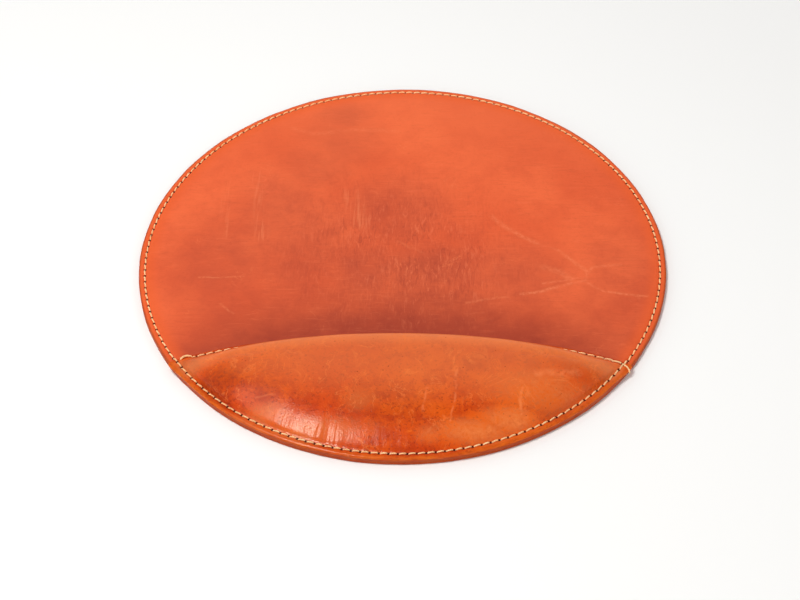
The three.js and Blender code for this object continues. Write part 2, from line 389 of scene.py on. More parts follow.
def burnished_edge(finish, place):
    """Cut leather rubbed smooth with wax: orange-brown, streaked along the edge, with painted shade that
    darkens its lower part.
    """
    flat = finish.vector("MULTIPLY", place, (1.0, 1.0, 5.0))
    height = finish.node("ShaderNodeSeparateXYZ", None, {0: place}, 2)
    streak = noise(finish, flat, 9 * mm, 6.0, 0.7)
    fine = noise(finish, finish.vector("MULTIPLY", place, (1.0, 1.0, 3.0)), 2.2 * mm, 4.0, 0.6)
    wax = finish.mix(streak.step(0.32, 0.68), colour(198, 74, 10), colour(216, 102, 22))
    wax = finish.mix(fine.step(0.5, 0.75) * 0.6, wax, colour(128, 38, 8))
    # Painted shade: the edge is darkened below 3.7 mm, and most below 2.4 mm.
    return finish.mix(height.step(3.7 * mm, 2.4 * mm) * 0.65, wax, colour(144, 40, 2))


suede = Finish("base_leather_suede")
place, px, py, _ = places(suede)
hole, radius = seam_holes(suede, px, py)
nap = noise(suede, place, 1.2 * mm, 6.0, 0.75, 0.6)
clouds = noise(suede, place, 28 * mm, 4.0, 0.6)
fibre = noise(suede, place, 0.35 * mm, 3.0, 0.7, 1.5)
skin = suede.mix(clouds.step(0.35, 0.7), colour(160, 114, 76), colour(172, 125, 84))
skin = suede.mix(nap.step(0.3, 0.75) * 0.55, skin, colour(205, 162, 118))
skin = suede.mix(fibre.step(0.5, 0.75) * 0.35, skin, colour(122, 80, 48))
on_edge = radius.step(124.0 * mm, 124.7 * mm)
skin = suede.mix(on_edge, skin, burnished_edge(suede, place))
# Painted shade in the needle holes of the rim seam.
skin = suede.mix(hole, skin, colour(40, 18, 10))
suede.principled(
    Base_Color=skin,
    Roughness=0.92 - on_edge * 0.52,
    Specular_IOR_Level=0.1,
    Normal=suede.bump((nap * 0.7 + fibre * 0.3) * (1 - on_edge * 0.8), 0.25 * mm),
)
suede.paint(base_piece)
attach(base_piece, "root")
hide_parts("base_leather")

# Top leather: the round mousing surface, red-brown waxed leather with its own marks: darker patches,
# scratches and a branching vein. It carries a painted shade behind the rest and a painted sheen towards the
# far side.
# The rim seam draws it in all round, and the rest covers its front.
top_face = 3.0 * mm
cover_corner_angle = math.radians(54.9)
open_rows = np.concatenate([
    [(r * mm, top_face) for r in (6, 20, 40, 60, 78, 94, 106, 113, 117.5)],
    [(r * mm, top_face) for r in np.linspace(119.2, 124.1, 19)],
    quarter_round(0.7 * mm, 8, np.pi / 2, pad_radius, top_face),
    [(pad_radius, 2.0 * mm), (pad_radius, 1.8 * mm)],
    quarter_round(crisp_round, 3, 0, pad_radius, base_top),
    [(r * mm, base_top) for r in (124, 118, 80, 30)],
])
upper_round = slice(28, 36)
covered_rows = open_rows.copy()
covered_rows[upper_round] = quarter_round(crisp_round, 8, np.pi / 2, pad_radius, top_face)
off_front = np.minimum(np.abs(around + np.pi / 2), np.abs(around - 1.5 * np.pi))
covered = np.clip((cover_corner_angle - off_front) / math.radians(0.4), 0, 1)
rows = open_rows[:, None] + (covered_rows - open_rows)[:, None] * covered[:, None]
radii, heights = rows[..., 0], rows[..., 1]
press = stitch_press(rim_along, radii - rim_seam_radius, channel=0.3 * mm, pit=0.75 * mm)
lip = 0.16 * mm * np.clip((radii - rim_seam_radius) / (3 * mm), 0, 1) ** 2
heights = heights - np.where(heights > 2.9 * mm, press + lip, 0) * (1 - covered)
own_sway = shared_sway + 0.03 * mm * waver(around, 13, 8, 120)
top_piece = round_piece("mousing_surface", turned(radii + edge_share(radii) * own_sway, heights, around))


def patch(x, y, centre, reach):
    """1 in the middle of an oval patch, fading to 0 at its reach."""
    across = (x - centre[0] * mm) / (reach[0] * mm)
    along = (y - centre[1] * mm) / (reach[1] * mm)
    return ((across ** 2.0 + along ** 2.0) ** 0.5).step(1.0, 0.1)


def patches(finish, x, y, spots, ragged):
    """The strongest of some (centre, reach, strength) patches at each place, broken up by a ragged field."""
    deepest = 0.0
    for centre, reach, strength in spots:
        deepest = finish.maths("MAXIMUM", deepest, patch(x, y, centre, reach) * strength)
    return finish.maths("MAXIMUM", deepest + ragged * deepest, 0.0)


def veins(finish, place, lines):
    """The strongest of some (points, width, strength) veins at each place."""
    strongest = 0.0
    for points, width, strength in lines:
        strongest = finish.maths("MAXIMUM", strongest, vein(finish, place, points, width) * strength)
    return strongest


def vein(finish, place, points, width):
    """1 on a line through the given places, 0 beyond its width, by the distance to its nearest stretch."""
    nearest = None
    for (x0, y0), (x1, y1) in zip(points, points[1:]):
        run = np.array([x1 - x0, y1 - y0, 0.0]) * mm
        off = finish.vector("SUBTRACT", place, (x0 * mm, y0 * mm, 0.0))
        share = finish.vector("DOT_PRODUCT", off, tuple(run / (run @ run)), output="Value")
        share = finish.node("ShaderNodeClamp", None, {"Value": share})
        scale = {"operation": "SCALE"}
        reached = finish.node("ShaderNodeVectorMath", scale, {0: tuple(run), "Scale": share})
        away = finish.vector("DISTANCE", off, reached, output="Value")
        nearest = away if nearest is None else finish.maths("MINIMUM", nearest, away)
    return nearest.step(width * mm, 0.0)


def swayed(finish, place, size, reach):
    """The place on the flat, pushed about by up to half the reach in clouds of the given size."""
    inputs = {"Vector": place, "Scale": 1 / size, "Detail": 4.0}
    push = finish.node("ShaderNodeTexNoise", None, inputs, "Color")
    flat = finish.vector("MULTIPLY", place, (1.0, 1.0, 0.0))
    pushed = finish.vector("MULTIPLY_ADD", push, (reach, reach, 0.0), flat)
    return finish.vector("SUBTRACT", pushed, (reach / 2, reach / 2, 0.0))


waxed = Finish("top_leather_waxed")
place, px, py, _ = places(waxed)
hole, radius = seam_holes(waxed, px, py)
clouds = noise(waxed, place, 60 * mm, 3.0, 0.5)
mottle = noise(waxed, place, 11 * mm, 6.0, 0.62, 0.3)
speckle = noise(waxed, place, 1.6 * mm, 4.0, 0.7)
wrinkle = noise(waxed, waxed.vector("MULTIPLY", place, (1.0, 0.2, 1.0)), 1.3 * mm, 3.0, 0.6, 1.0)
ripple = noise(waxed, waxed.vector("MULTIPLY", place, (0.16, 1.0, 1.0)), 1.4 * mm, 3.0, 0.6, 0.9)
fibre = noise(waxed, waxed.vector("MULTIPLY", place, (1.0, 0.04, 1.0)), 1.1 * mm, 3.0, 0.6)
skin = waxed.mix(clouds.step(0.3, 0.7), colour(220, 86, 42), colour(236, 102, 54))
skin = waxed.mix(mottle.step(0.4, 0.75) * 0.35, skin, colour(204, 74, 36))
skin = waxed.mix(speckle.step(0.5, 0.8) * 0.25, skin, colour(180, 58, 28))
# Darker patches: the leather's own, except those at (12, -28) and (-2, -51) just behind the rest, which are
# partly painted shade where the rest shades the top leather.
dark = patches(waxed, px, py, (
    ((-32, 102), (22, 16), 0.5),
    ((-32, 82), (30, 34), 0.3),
    ((-62, 26), (38, 48), 0.42),
    ((-6, 26), (46, 44), 0.45),
    ((12, -28), (60, 34), 0.45),
    ((10, -12), (62, 34), 0.58),
    ((-16, -12), (34, 32), 0.64),
    ((50, -14), (56, 34), 0.42),
    ((-2, -51), (80, 22), 0.7),
    ((26, 2), (26, 40), 0.25),
    ((-46, 0), (56, 70), 0.44),
    ((-44, 60), (32, 30), 0.3),
    ((-84, -8), (44, 60), 0.42),
    ((104, -24), (40, 60), 0.3),
), (mottle - 0.5) * 1.2)
skin = waxed.mix(dark, skin, colour(166, 62, 38))
# Painted shade: a darker band just behind the rest, following its rear seam, where the rest shades the top
# leather.
rest_curve = 1.63
painted_shade_behind_rest = (py + px * px * rest_curve + 55 * mm).step(44 * mm, 0.0)
painted_shade_behind_rest = painted_shade_behind_rest * (mottle * 0.7 + 0.5) * (abs(px).step(116 * mm, 70 * mm) * 0.65 + 0.35)
skin = waxed.mix(painted_shade_behind_rest, skin, colour(152, 50, 26))
uneven = noise(waxed, place, 22 * mm, 4.0, 0.6).step(0.4, 0.65)
wrinkled = patch(px, py, (0, -2), (80, 80)) * (uneven * 0.6 + 0.4)
skin = waxed.mix(wrinkle.step(0.5, 0.3) * wrinkled * 0.5, skin, colour(150, 50, 28))
skin = waxed.mix(wrinkle.step(0.52, 0.7) * wrinkled * 0.42, skin, colour(236, 122, 80))
rippled = (1 - uneven) * 0.13
skin = waxed.mix(ripple.step(0.48, 0.32) * rippled, skin, colour(164, 54, 28))
skin = waxed.mix(ripple.step(0.54, 0.7) * rippled, skin, colour(240, 124, 80))
flat = waxed.vector("MULTIPLY", place, (1.0, 1.0, 0.0))
wavy = swayed(waxed, place, 11 * mm, 3 * mm)
light = veins(waxed, wavy, (
    (((43, 26), (53, 15), (64, 7)), 2.2, 0.32),
    (((64, 7), (74, 2)), 1.2, 0.14),
    (((74, 2), (87, -12)), 1.6, 0.34),
    (((87, -13), (90, -9), (96, -8), (103, -7)), 1.5, 0.28),
    (((87, -12), (86, -19), (94, -25)), 1.1, 0.3),
    (((94, -25), (106, -27), (114, -28)), 1.3, 0.38),
    (((86, -18), (73, -22), (64, -25), (56, -27)), 1.4, 0.44),
    (((85, -16), (76, -18), (66, -20)), 0.9, 0.32),
    (((49, -29), (40, -30), (30, -33)), 1.2, 0.22),
    (((67, -9), (74, -12), (79, -17)), 3.2, 0.24),
    (((-58, 92), (-47, 88), (-26, 91), (-4, 90)), 2.4, 0.2),
    (((-84, -34), (-77, -40)), 1.0, 0.38),
    (((-95, -17), (-74, -16)), 0.9, 0.3),
    (((-2, 8), (10, 0)), 1.4, 0.15),
)) * (noise(waxed, place, 1.5 * mm, 3.0, 0.7).step(0.38, 0.6) * 0.7 + 0.17)
light = light * (noise(waxed, place, 7 * mm, 2.0).step(0.35, 0.55) * 0.5 + 0.5)
brushed = veins(waxed, flat, (
    (((-73, 58), (-68, 11)), 5.0, 0.26),
    (((-90, 56), (-85, 11)), 4.0, 0.16),
    (((-26, 42), (-20, 20)), 7.0, 0.26),
)) * fibre.step(0.5, 0.65)
light = waxed.maths("MAXIMUM", light, brushed)
crease = abs(noise(waxed, place, 24 * mm, 5.0, 0.6, 0.8) - 0.5)
crease = crease.step(0.012, 0.0) * noise(waxed, place, 16 * mm, 2.0).step(0.55, 0.75)
skin = waxed.mix(light, skin, colour(246, 146, 96))
skin = waxed.mix(crease * 0.3, skin, colour(236, 126, 76))
near_rim = radius.step(114 * mm, 122 * mm)
# Painted sheen: the far side of the pad is lighter.
skin = waxed.mix(py.step(40 * mm, 125 * mm) * 0.35, skin, colour(248, 116, 64))
skin = waxed.mix(near_rim * 0.6, skin, colour(228, 88, 26))
on_edge = radius.step(123.6 * mm, 124.7 * mm)
skin = waxed.mix(on_edge, skin, burnished_edge(waxed, place))
# Painted shade in the needle holes, weaker towards the far side.
skin = waxed.mix(hole * (py.step(120 * mm, 50 * mm) * 0.5 + 0.5), skin, colour(104, 22, 2))
pebble = cells(waxed, place, 0.55 * mm, "SMOOTH_F1")
height = mottle * 0.25 + pebble * 0.18 + wrinkle * (wrinkled + 0.1) * 0.4 + ripple * 0.1 + light * 0.3
waxed.principled(
    Base_Color=skin,
    Roughness=0.46 + speckle * 0.14 + dark * 0.08 + hole * 0.3,
    Specular_IOR_Level=0.2,
    Normal=waxed.bump(height, 0.16 * mm),
)
waxed.paint(top_piece)
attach(top_piece, "root")
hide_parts("top_leather")

# Wrist rest cover: one sheet of cognac leather, moulded over the foam, sewn down along its rear edge
# and together with the pad along the rim. In front its edge is burnished with the pad's.
cover_face = 4.2 * mm
cover_thickness = 1.2 * mm
corner_x = rim_seam_radius * math.cos(math.radians(35.6))
corner_y = -rim_seam_radius * math.sin(math.radians(35.6))
rest_middle_y = 66.8 * mm - rim_seam_radius
rest_arc_half = corner_x + 19 * mm
rest_arc_rise = (rest_middle_y - corner_y) / (1 - math.sqrt(1 - (corner_x / rest_arc_half) ** 2))
cover_margin = 1.5 * mm
cover_end_x = 102 * mm
foot_inset = 0.7 * mm
crown_start = 10.7 * mm


def rest_seam_y(x):
    """The rear seam: the crown of an ellipse through both corners."""
    return rest_middle_y - rest_arc_rise * (1 - np.sqrt(1 - (x / rest_arc_half) ** 2))


def rim_y(x, radius):
    """The front half of a circle about the pad's middle."""
    return -np.sqrt(radius ** 2 - x ** 2)


def crown_fullness(width):
    """How high the bulge gets where it is so wide: 1 - exp(-(width / 30 mm)^1.3)."""
    return 1 - np.exp(-((width / (30 * mm)) ** 1.3))


def crown(y, rear_foot, front_foot, tallest):
    """The height of the bulge: a quarter wave behind and H (1 - t^2.2)^0.8 in front. Both are steeper
    where the bulge is narrow, and each has a hollow at its foot."""
    run = rear_foot - front_foot
    full = crown_fullness(run) / crown_fullness(65.4 * mm)
    back_run = np.minimum(8.5 * mm, 0.4 * run)
    behind = np.clip((rear_foot - y) / back_run, 0, 1)
    before = np.clip((rear_foot - back_run - y) / (run - back_run), 0, 1)
    front = (1 - before ** (2.2 + 8 * full * (1 - full))) ** 0.8
    rise = np.where(behind < 1, np.sin(np.pi / 2 * behind) ** (0.7 + 0.3 * full), front)
    rear_hollow = 1 - np.exp(-((np.clip(rear_foot - y, 0, None) / (0.7 * mm)) ** 2))
    front_hollow = 1 - np.exp(-((np.clip(y - front_foot, 0, None) / (1.1 * mm)) ** 2))
    return tallest * full * rise * rear_hollow * front_hollow


def feet(x):
    """The rear edge, the rear and front foot of the bulge and the rim edge, as y for each x."""
    rear_edge = rest_seam_y(x) + cover_margin
    rim_edge = rim_y(x, pad_radius)
    middle = (rear_edge + rim_edge) / 2
    least = 0.1 * (rear_edge - rim_edge)
    rear_foot = np.maximum(rest_seam_y(x) - foot_inset, middle + least)
    front_foot = np.minimum(rim_y(x, rim_seam_radius - foot_inset), middle - least)
    return rear_edge, rear_foot, front_foot, rim_edge


def pressed_skin(x, shares):
    """How far leather moves that starts as the crown, a little too low, is held at both seams and is pushed
    up by the foam: a cloth simulation on a coarse grid of places, its moves capped."""
    frames = 20
    most = 0.9 * mm
    rear_edge, rear_foot, front_foot, rim_edge = feet(x)
    y = rear_foot + shares[:, None] * (front_foot - rear_foot)
    y = np.concatenate([[rear_foot + cover_margin], y, [front_foot - cover_margin]])
    z = cover_face + crown(y, rear_foot, front_foot, crown_start)
    start = np.stack([np.broadcast_to(x, y.shape), y, z], -1)
    rows, count = y.shape
    skin = mesh_piece("skin_to_press", start.reshape(-1, 3), grid_faces(rows, count))
    if skin.data.polygons[rows * count // 2].normal.z < 0:
        skin.data.flip_normals()
    sewn = np.zeros((rows, count), bool)
    sewn[:2] = sewn[-2:] = sewn[:, :2] = sewn[:, -2:] = True
    group = skin.vertex_groups.new(name="sewn")
    group.add(np.flatnonzero(sewn).tolist(), 1.0, "REPLACE")
    group.add(np.flatnonzero(~sewn).tolist(), 0.02, "REPLACE")
    cloth = skin.modifiers.new("cloth", "CLOTH")
    cloth.settings.quality = 6
    cloth.settings.tension_stiffness = 40
    cloth.settings.compression_stiffness = 40
    cloth.settings.shear_stiffness = 20
    cloth.settings.bending_stiffness = 0.8
    cloth.settings.vertex_group_mass = "sewn"
    cloth.settings.use_pressure = True
    cloth.settings.uniform_pressure_force = 4
    cloth.settings.effector_weights.gravity = 0
    cloth.point_cache.frame_start = 1
    cloth.point_cache.frame_end = frames
    for step in range(1, frames + 1):
        bpy.context.scene.frame_set(step)
    shaped = skin.evaluated_get(bpy.context.evaluated_depsgraph_get())
    moved = np.empty(rows * count * 3)
    shaped.data.vertices.foreach_get("co", moved)
    bpy.context.scene.frame_set(1)
    bpy.data.objects.remove(skin)
    move = (moved.reshape(rows, count, 3) - start)[1:-1]
    length = np.linalg.norm(move, axis=-1, keepdims=True)
    return move * np.minimum(1, most / np.maximum(length, 0.001 * mm))


def spline_weights(places, count):
    """Catmull-Rom weights of count even samples for each place: weights @ samples is a smooth line."""
    i = np.clip(np.floor(places).astype(int), 0, count - 2)
    t = places - i
    parts = (
        -t + 2 * t ** 2 - t ** 3,
        2 - 5 * t ** 2 + 3 * t ** 3,
        t + 4 * t ** 2 - 3 * t ** 3,
        t ** 3 - t ** 2,
    )
    weights = np.zeros((len(places), count))
    for k, part in enumerate(parts):
        np.add.at(weights, (np.arange(len(places)), np.clip(i + k - 1, 0, count - 1)), part / 2)
    return weights


cover_columns = 430
bulge_rows = 84
even = np.linspace(-1, 1, cover_columns)
cover_x = cover_end_x * (0.35 * np.sin(np.pi / 2 * even) + 0.65 * even)
rear_edge, rear_foot, front_foot, rim_edge = feet(cover_x)
even = np.linspace(0, 1, bulge_rows)
bulge_share = 0.4 * even + 0.3 * (1 - np.cos(np.pi * even))
rear_share = np.concatenate([[0, 0.02, 0.06, 0.12, 0.2], np.linspace(0.3, 1, 10)[:-1]])
front_share = np.concatenate([np.linspace(0, 0.76, 15)[1:], [0.81, 0.86, 0.9, 0.94, 0.97, 0.99, 1.0]])
cover_y = np.concatenate([
    rear_edge + rear_share[:, None] * (rear_foot - rear_edge),
    rear_foot + bulge_share[:, None] * (front_foot - rear_foot),
    front_foot + front_share[:, None] * (rim_edge - front_foot),
])
skin_x = np.broadcast_to(cover_x, cover_y.shape)
skin_z = cover_face + crown(cover_y, rear_foot, front_foot, crown_start)
over = np.stack([skin_x, cover_y, skin_z], -1)
bulge_start = len(rear_share)
bulge_end = bulge_start + bulge_rows
coarse_reach = 97
coarse_columns = 140
coarse_rows = 48
coarse_x = np.linspace(-coarse_reach, coarse_reach, coarse_columns) * mm
move = pressed_skin(coarse_x, np.linspace(0, 1, coarse_rows))
down = spline_weights(bulge_share * (coarse_rows - 1), coarse_rows)
sideways = (cover_x / mm + coarse_reach) / (2 * coarse_reach) * (coarse_columns - 1)
sideways = spline_weights(np.clip(sideways, 0, coarse_columns - 1), coarse_columns)
over[bulge_start:bulge_end] += np.einsum("ri,ijk,cj->rck", down, move, sideways)

rest_angle = np.linspace(0, np.pi, 20001)
rest_line_y = rest_middle_y - rest_arc_rise * (1 - np.sin(rest_angle))
rest_line = np.stack([-rest_arc_half * np.cos(rest_angle), rest_line_y], 1)
rest_line = rest_line[np.abs(rest_line[:, 0]) <= 98.3 * mm]
rest_walk = np.concatenate([[0], np.cumsum(np.linalg.norm(np.diff(rest_line, axis=0), axis=1))])
rest_stitches = round(rest_walk[-1] / stitch_pitch)


def rest_across(x, y):
    """The distance from the rear seam, taken square to it."""
    slope = np.gradient(rest_line[:, 1], rest_line[:, 0])
    return (y - rest_seam_y(x)) / np.sqrt(1 + np.interp(x, rest_line[:, 0], slope) ** 2)


def puckers(x, y):
    """Short furrows square to the front seam, where the leather was gathered in. At d inwards from the seam
    they are (d / 2.4 mm) exp(1 - d / 2.4 mm) high, times fine waves along it. They are strong on the left
    of the middle and faint elsewhere."""
    inwards = np.clip(rim_seam_radius - foot_inset - np.hypot(x, y), 0, None) / (2.4 * mm)
    angle = np.arctan2(x, -y)
    drift = angle + 0.004 * np.sin(angle * 31 + inwards * 0.7)
    left = np.exp(-(((angle + 0.26) / 0.21) ** 2))
    right = np.exp(-(((angle - 0.42) / 0.1) ** 2))
    strength = 0.3 + 1.1 * left + 0.35 * right
    strength = strength * (0.75 + 0.35 * waver(angle, 21, 12, 40))
    furrows = 0.035 * waver(drift, 22, 180, 420) + 0.05 * waver(drift, 23, 60, 170)
    return mm * furrows * strength * inwards * np.exp(1 - inwards)


def lumps(x, y, seed):
    """The slight unevenness of a hand-filled rest: 24 plane waves, 14 to 45 mm long, in seeded directions."""
    draw = np.random.default_rng(seed)
    waves = 24
    lengths = draw.uniform(14, 45, waves) * mm
    turns = draw.uniform(0, np.pi, waves)
    starts = draw.uniform(0, 7, waves)
    total = 0 * x
    for length, turn, start in zip(lengths, turns, starts):
        walk = x * np.cos(turn) + y * np.sin(turn)
        total = total + np.cos(2 * np.pi * walk / length + start)
    return total / np.sqrt(waves / 2)


reach = np.hypot(skin_x, cover_y)
front_along = (np.arctan2(cover_y, skin_x) + np.pi / 2) / (2 * np.pi) * rim_stitches
rear_along = np.interp(skin_x, rest_line[:, 0], rest_walk / rest_walk[-1] * rest_stitches)
rear_across = rest_across(skin_x, cover_y)
front_press = stitch_press(front_along, reach - rim_seam_radius, channel=0.3 * mm, pit=0.75 * mm)
rear_press = stitch_press(rear_along, rear_across, channel=0.25 * mm, pit=0.7 * mm)
rear_press = rear_press * np.clip((99.2 * mm - np.abs(skin_x)) / (0.8 * mm), 0, 1)
rear_press = rear_press * np.clip((rear_along - 1.2) * 3, 0, 1)
rear_gap = 1 - np.clip((rear_edge - cover_y) / (0.45 * mm), 0, 1)
rim_gap = 1 - np.clip((pad_radius - reach) / (1.1 * mm), 0, 1)
at_corner = np.exp(-(((np.abs(skin_x) - 102 * mm) / (4 * mm)) ** 2))
rounding = 0.45 * mm * (1 - np.sqrt(1 - rear_gap ** 2))
rounding += (0.8 - 0.6 * at_corner) * mm * (1 - np.sqrt(1 - rim_gap ** 2))
on_bulge = np.clip((over[..., 2] - cover_face) / (5 * mm), 0, 1)
over[..., 2] += puckers(skin_x, cover_y) + 0.07 * mm * lumps(skin_x, cover_y, 24) * on_bulge
over[..., 2] -= front_press + rear_press + rounding
angle = np.arctan2(cover_y, skin_x)
cover_sway = 0.1 * mm * (waver(angle, 11, 2, 30) - 1) + 0.03 * mm * waver(angle, 14, 8, 120)
cover_sway = cover_sway + 1.0 * mm * at_corner
cover_sway = cover_sway * np.clip((reach - 122.5 * mm) / (2.5 * mm), 0, 1)
over[..., 0] += np.cos(angle) * cover_sway
over[..., 1] += np.sin(angle) * cover_sway
normal = np.cross(np.gradient(over, axis=0), np.gradient(over, axis=1))
normal = normal / np.linalg.norm(normal, axis=-1, keepdims=True)
normal = normal * np.sign(normal[..., 2:])
under = over - normal * cover_thickness
edge_rows = 4
edge = np.ones(len(over), bool)
edge[edge_rows:-edge_rows] = False
under[edge] = over[edge]
under[..., 2] = np.where(edge[:, None], top_face, np.maximum(under[..., 2], top_face))
under[..., 1] = np.clip(under[..., 1], over[-1, :, 1], over[0, :, 1])
kept = np.unique(np.concatenate([np.arange(0, len(over), 3), [len(over) - 1]]))
under = under[kept[::-1]]
cover_grid = np.concatenate([over, under])
rows = len(cover_grid)
points = cover_grid.reshape(-1, 3)
ring = np.arange(rows) * cover_columns
ends = [cover_grid[:, 0].mean(0), cover_grid[:, -1].mean(0)]
faces = np.concatenate([
    grid_faces(rows, cover_columns, rows_close=True),
    pole_faces(ring, rows * cover_columns, True),
    pole_faces(ring + cover_columns - 1, rows * cover_columns + 1, False),
])
cover_piece = mesh_piece("wrist_rest_cover", np.concatenate([points, ends]), faces)
far_off = 1.0
for name, value, outside in (("rear_along", rear_along, 0.0), ("rear_across", rear_across, far_off)):
    field = np.full(len(cover_piece.data.vertices), outside)
    field[:value.size] = value.ravel()
    cover_piece.data.attributes.new(name, "FLOAT", "POINT").data.foreach_set("value", field)

cognac = Finish("rest_leather_cognac")
place, px, py, pz = places(cognac)
hole, radius = seam_holes(cognac, px, py)
along = cognac.node("ShaderNodeAttribute", {"attribute_name": "rear_along"}, output="Fac")
across = cognac.node("ShaderNodeAttribute", {"attribute_name": "rear_across"}, output="Fac")
beside = (cognac.maths("FRACT", along + 0.5) - 0.5) * stitch_pitch
away = (beside ** 2.0 + across ** 2.0) ** 0.5
tight = along.step(1.2, 1.5) * along.step(rest_stitches - 1.3, rest_stitches - 1.6)
rear_hole = away.step(hole_rim, hole_radius) * tight
clouds = noise(cognac, place, 45 * mm, 3.0, 0.5)
mottle = noise(cognac, place, 8 * mm, 7.0, 0.68, 0.5)
speckle = noise(cognac, place, 1.3 * mm, 4.0, 0.65)
skin = cognac.mix(clouds.step(0.3, 0.7), colour(202, 64, 4), colour(220, 90, 12))
skin = cognac.mix(mottle.step(0.44, 0.64) * 0.75, skin, colour(178, 50, 4))
skin = cognac.mix(mottle.step(0.42, 0.3) * 0.5, skin, colour(230, 106, 24))
skin = cognac.mix(speckle.step(0.53, 0.66) * 0.62, skin, colour(136, 34, 4))
ragged = (mottle - 0.5) * 2.0 + (speckle - 0.5) * 2.4
dark = patches(cognac, px, py, (
    ((-78, -87), (16, 13), 0.6),
    ((-58, -94), (12, 9), 0.2),
    ((86, -84), (16, 10), 0.25),
    ((66, -98), (18, 8), 0.2),
    ((-5, -100), (34, 15), 0.3),
    ((-94, -76), (10, 8), 0.8),
    ((90, -78), (14, 9), 0.5),
    ((34, -80), (16, 6), 0.25),
), ragged)
skin = cognac.mix(dark, skin, colour(140, 42, 10))
# Painted sheen: the top of the bulge, above 10.5 mm, is paler.
painted_top_sheen = pz.step(10.5 * mm, 15.2 * mm)
skin = cognac.mix(painted_top_sheen * 0.65, skin, colour(214, 108, 62))
# Painted sheen: paler patches on the bulge, most of them along the front seam, where its gloss catches the
# light.
painted_sheen = patches(cognac, px, py, (
    ((32, -112), (26, 8), 0.7),
    ((-40, -112), (40, 9), 0.5),
    ((-60, -104), (18, 7), 0.45),
    ((62, -92), (40, 16), 0.5),
    ((48, -106), (20, 9), 0.7),
    ((-17, -99), (12, 8), 0.3),
    ((13, -114), (9, 6), 0.4),
    ((-74, -78), (34, 12), 0.15),
    ((78, -78), (40, 13), 0.25),
), ragged)
skin = cognac.mix(painted_sheen, skin, colour(226, 118, 58))
# Painted sheen: a paler band along the crest, in front of the rear seam.
painted_crest_sheen = across.step(-16 * mm, -7 * mm) * (across.step(-1 * mm, -7 * mm) * 0.5 + 0.5)
painted_crest_sheen = painted_crest_sheen * across.step(0.8 * mm, -0.4 * mm)
skin = cognac.mix(painted_crest_sheen * 0.5, skin, colour(236, 134, 76))
skin = cognac.mix(across.step(0.1 * mm, 1.2 * mm) * 0.35, skin, colour(156, 50, 20))
pores = cells(cognac, place, 2.6 * mm)
pores = pores.step(0.16, 0.06) * noise(cognac, place, 12 * mm, 2.0).step(0.48, 0.62)
skin = cognac.mix(pores * 0.6, skin, colour(120, 30, 10))
wavy = swayed(cognac, place, 9 * mm, 4 * mm)
# Pale veins in the leather; the wide streak from (60, -84) to (78, -82) is a painted reflection.
light = veins(cognac, wavy, (
    (((53, -92), (52, -103)), 1.0, 0.5),
    (((25, -84), (24, -100), (22, -108)), 1.0, 0.4),
    (((12, -93), (10, -104)), 0.9, 0.35),
    (((-62, -97), (-53, -96)), 0.7, 0.2),
    (((60, -84), (78, -82)), 3.0, 0.4),
)) * noise(cognac, place, 3 * mm, 3.0).step(0.3, 0.6)
crease = abs(noise(cognac, place, 18 * mm, 5.0, 0.6, 0.8) - 0.5)
crease = crease.step(0.02, 0.0) * noise(cognac, place, 14 * mm, 2.0).step(0.42, 0.62)
drawn = cognac.vector("MULTIPLY", place, (1.0, 0.45, 1.0))
scratch = abs(noise(cognac, drawn, 7 * mm, 4.0, 0.6, 1.2) - 0.5)
scratch = scratch.step(0.02, 0.0) * noise(cognac, place, 10 * mm, 2.0).step(0.45, 0.65)
skin = cognac.mix(light, skin, colour(240, 134, 78))
skin = cognac.mix(crease * 0.4, skin, colour(236, 126, 62))
skin = cognac.mix(scratch * 0.4, skin, colour(234, 118, 52))
outside_seam = radius.step(122.6 * mm, 124.6 * mm)
skin = cognac.mix(outside_seam * 0.85, skin, burnished_edge(cognac, place))
# Painted shade in the needle holes of both seams.
shaded_holes = cognac.maths("MAXIMUM", hole, rear_hole * 0.7)
skin = cognac.mix(shaded_holes, skin, colour(104, 22, 2))
pebble = cells(cognac, place, 0.6 * mm, "SMOOTH_F1")
dull = patch(px, py, (-62, -100), (17, 16))
cognac.principled(
    Base_Color=skin,
    Roughness=0.15 + speckle * 0.08 + mottle * 0.1 + dull * 0.28 + shaded_holes * 0.5,
    Specular_IOR_Level=0.11,
    Normal=cognac.bump(mottle * 0.4 + pebble * 0.28 + speckle * 0.16 - pores * 0.25, 0.16 * mm),
)
cognac.paint(cover_piece)
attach(cover_piece, "root")
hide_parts("rest_cover")

# Foam: a lens of soft cushion foam, cut to fill the cover and lying on the top leather.
# It doesn't show; its edges thin out to nothing at both seams.
foam_gap = 0.3 * mm
foam_half = 85 * mm
every_second = slice(bulge_start, bulge_end, 2)
foam_top = over[every_second] - normal[every_second] * (cover_thickness + foam_gap)
foam_top = foam_top[:, np.abs(cover_x) < foam_half][:, ::3]
foam_top = foam_top[2:-2]
foam_top[..., 2] = np.maximum(foam_top[..., 2], top_face + 0.05 * mm)
foam_floor = foam_top[::-1].copy()
foam_floor[..., 2] = top_face
foam_grid = np.concatenate([foam_top, foam_floor])
rows, wide = foam_grid.shape[:2]
points = foam_grid.reshape(-1, 3)
ring = np.arange(rows) * wide
foam_caps = [ring.tolist(), (ring + wide - 1)[::-1].tolist()]
foam_piece = mesh_piece("rest_filling", points, grid_faces(rows, wide, rows_close=True), foam_caps)
foam = Finish("cushion_foam")
place, *_ = places(foam)
bubbles = cells(foam, place, 0.9 * mm)
tone = noise(foam, place, 12 * mm, 3.0)
crumb = foam.mix(bubbles.step(0.2, 0.7), colour(196, 180, 140), colour(238, 228, 200))
crumb = foam.mix(tone.step(0.4, 0.7) * 0.4, crumb, colour(226, 206, 160))
foam.principled(Base_Color=crumb, Roughness=0.95, Normal=foam.bump(bubbles, 0.3 * mm))
foam.paint(foam_piece)
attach(foam_piece, "root")
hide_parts("rest_foam")

